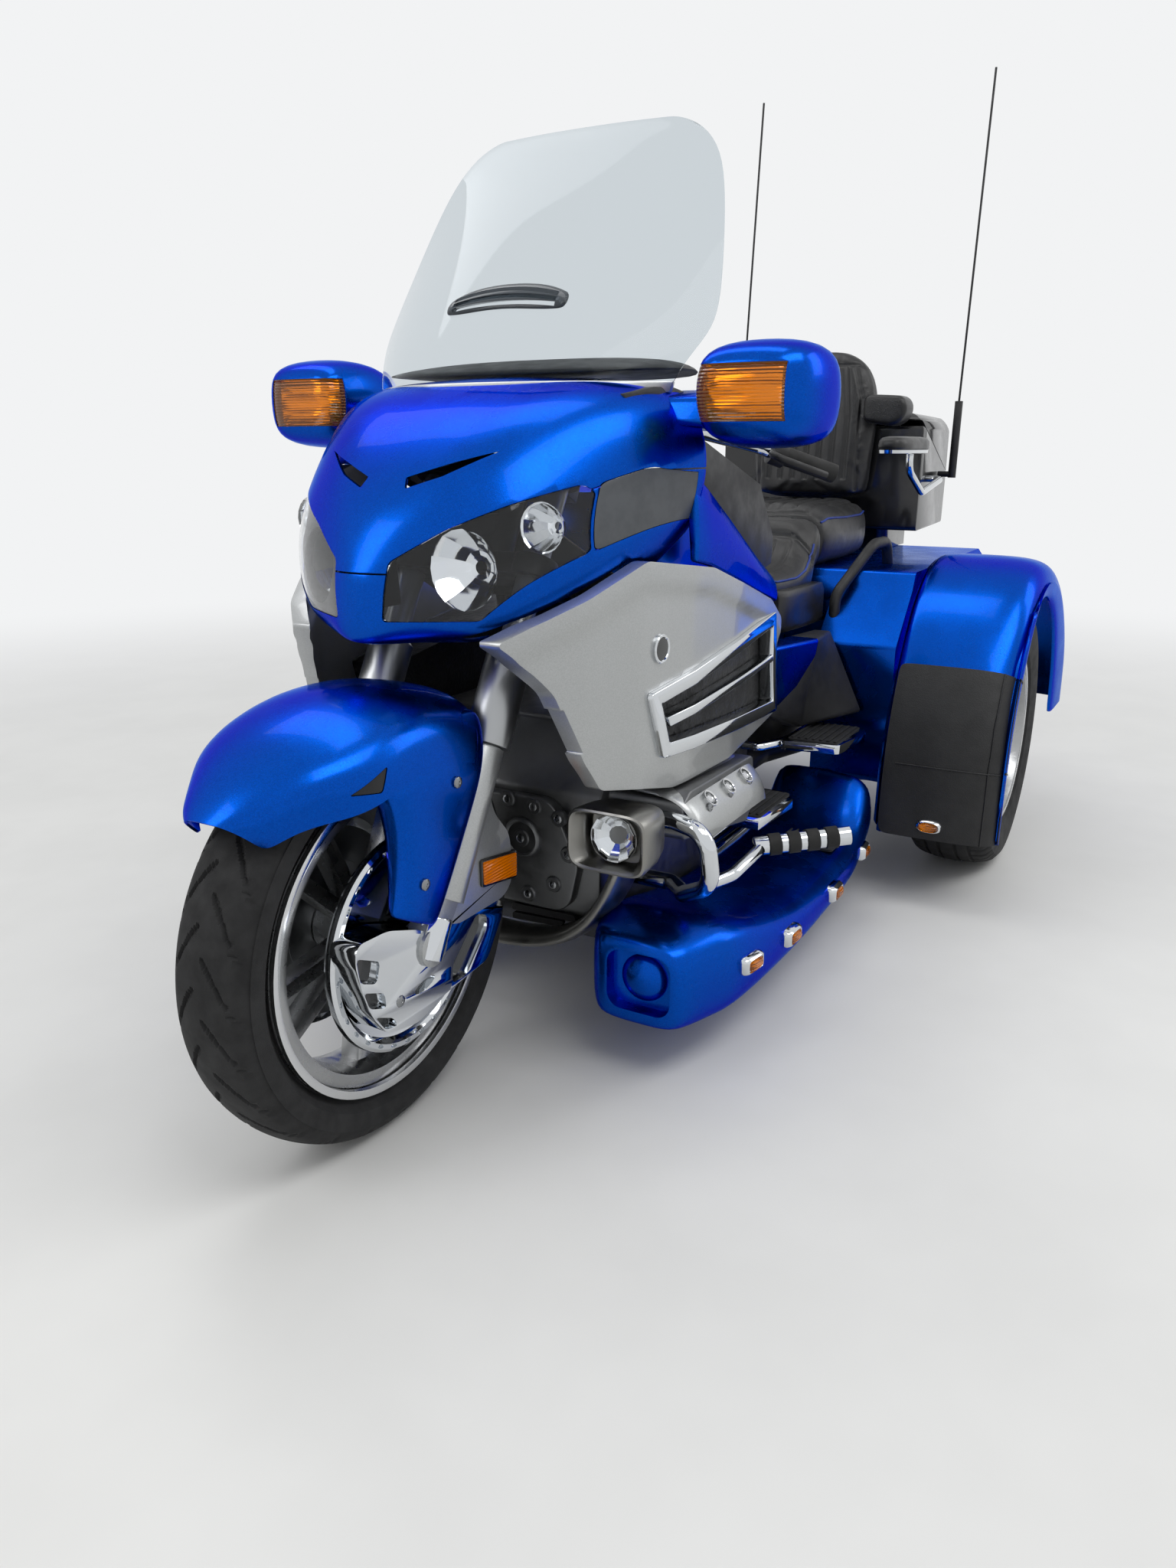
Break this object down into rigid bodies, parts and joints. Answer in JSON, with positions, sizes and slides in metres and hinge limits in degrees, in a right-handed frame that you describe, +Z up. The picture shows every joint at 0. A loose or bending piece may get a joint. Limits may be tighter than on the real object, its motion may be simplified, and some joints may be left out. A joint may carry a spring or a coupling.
{
  "type": "three-wheeled touring motorcycle",
  "caption": "Faired touring motorcycle with a two-wheeled trike rear: steered front wheel, tall windscreen, stepped seat with backrest, lidded trunk and wide rear fenders.",
  "frame": {"origin": "on the floor, midway along the overall length, on the mid-plane", "axes": "+X forward, +Y to the rider's left, +Z up"},
  "size_m": [2.6794, 1.4086, 1.9902],
  "materials": {
    "blue_paint": "metallic clear-coated paint",
    "silver_paint": "metallic silver paint",
    "frame_paint": "black coated steel",
    "chrome": "polished chrome plate",
    "cast_alloy": "painted cast alloy",
    "polished_alloy": "polished alloy",
    "brushed_cover": "brushed plate",
    "disc_steel": "ground steel",
    "black_plastic": "grained black plastic",
    "black_gloss": "gloss black plastic",
    "grey_plastic": "satin grey plastic",
    "leather": "grained black cover",
    "rubber": "matt rubber",
    "tyre": "matt rubber",
    "clear_screen": "clear polycarbonate",
    "clear_lens": "clear lens over reflectors",
    "amber_lens": "ribbed amber lens",
    "red_lens": "ribbed red lens"
  },
  "bodies": {
    "chassis": {"rear_axle": "frame_paint", "fairing_upper": "blue_paint", "fairing_lower": "blue_paint", "headlights": "clear_lens", "headlight_ends": "grey_plastic", "windscreen": "clear_screen", "dashboard": "black_plastic", "tank_shelter": "blue_paint", "side_cowls": "silver_paint", "cowl_vents": "chrome", "radiators": "black_plastic", "mirrors": "blue_paint", "mirror_lamps": "amber_lens", "engine": "cast_alloy", "head_covers": "chrome", "engine_front_cover": "grey_plastic", "fog_housings": "silver_paint", "fog_lenses": "clear_lens", "engine_guards": "chrome", "frame": "frame_paint", "running_boards": "blue_paint", "marker_lamps": "amber_lens", "foot_boards": "chrome", "seat": "leather", "backrest": "leather", "side_covers": "blue_paint", "trunk_base": "black_gloss", "armrest_pads": "leather", "armrest_posts": "chrome", "antennas": "black_plastic", "trike_body": "blue_paint", "fender_covers": "leather", "tail_lamps": "red_lens", "mud_flaps": "rubber", "exhausts": "chrome", "rear_covers": "black_plastic", "grab_rails": "black_plastic"},
    "steering": {"fork": "silver_paint", "fork_covers": "brushed_cover", "triple_clamp": "frame_paint", "handlebar": "chrome", "grips": "rubber", "bar_controls": "black_plastic", "front_fender": "blue_paint", "brake_covers": "chrome"},
    "front_wheel": {"front_tyre": "tyre", "front_rim": "cast_alloy", "front_brake_discs": "disc_steel"},
    "rear_wheel_left": {"rear_rim_left": "polished_alloy", "rear_tyre_left": "tyre"},
    "rear_wheel_right": {"rear_rim_right": "polished_alloy", "rear_tyre_right": "tyre"},
    "trunk_lid": {"trunk_lid": "black_gloss"},
    "body_door": {"body_door": "blue_paint", "plate_bracket": "chrome"}
  },
  "joints": [
    {"name": "steering", "type": "hinge", "parent": "chassis", "child": "steering", "pos_m": [1.129, 0, 0], "axis": [-0.4886, 0, 0.8725], "range_deg": [-32, 32]},
    {"name": "front_wheel_spin", "type": "hinge", "parent": "steering", "child": "front_wheel", "pos_m": [1.02, 0, 0.3195], "axis": [0, 1, 0], "continuous": true},
    {"name": "rear_left_spin", "type": "hinge", "parent": "chassis", "child": "rear_wheel_left", "pos_m": [-0.65, 0.567, 0.3235], "axis": [0, 1, 0], "continuous": true},
    {"name": "rear_right_spin", "type": "hinge", "parent": "chassis", "child": "rear_wheel_right", "pos_m": [-0.65, -0.567, 0.3235], "axis": [0, 1, 0], "continuous": true},
    {"name": "trunk_lid_hinge", "type": "hinge", "parent": "chassis", "child": "trunk_lid", "pos_m": [-1.017, 0, 1.079], "axis": [0, 1, 0], "range_deg": [0, 60]},
    {"name": "body_door_hinge", "type": "hinge", "parent": "chassis", "child": "body_door", "pos_m": [-1.3265, 0, 0.671], "axis": [0, 1, 0], "range_deg": [0, 75]}
  ]
}
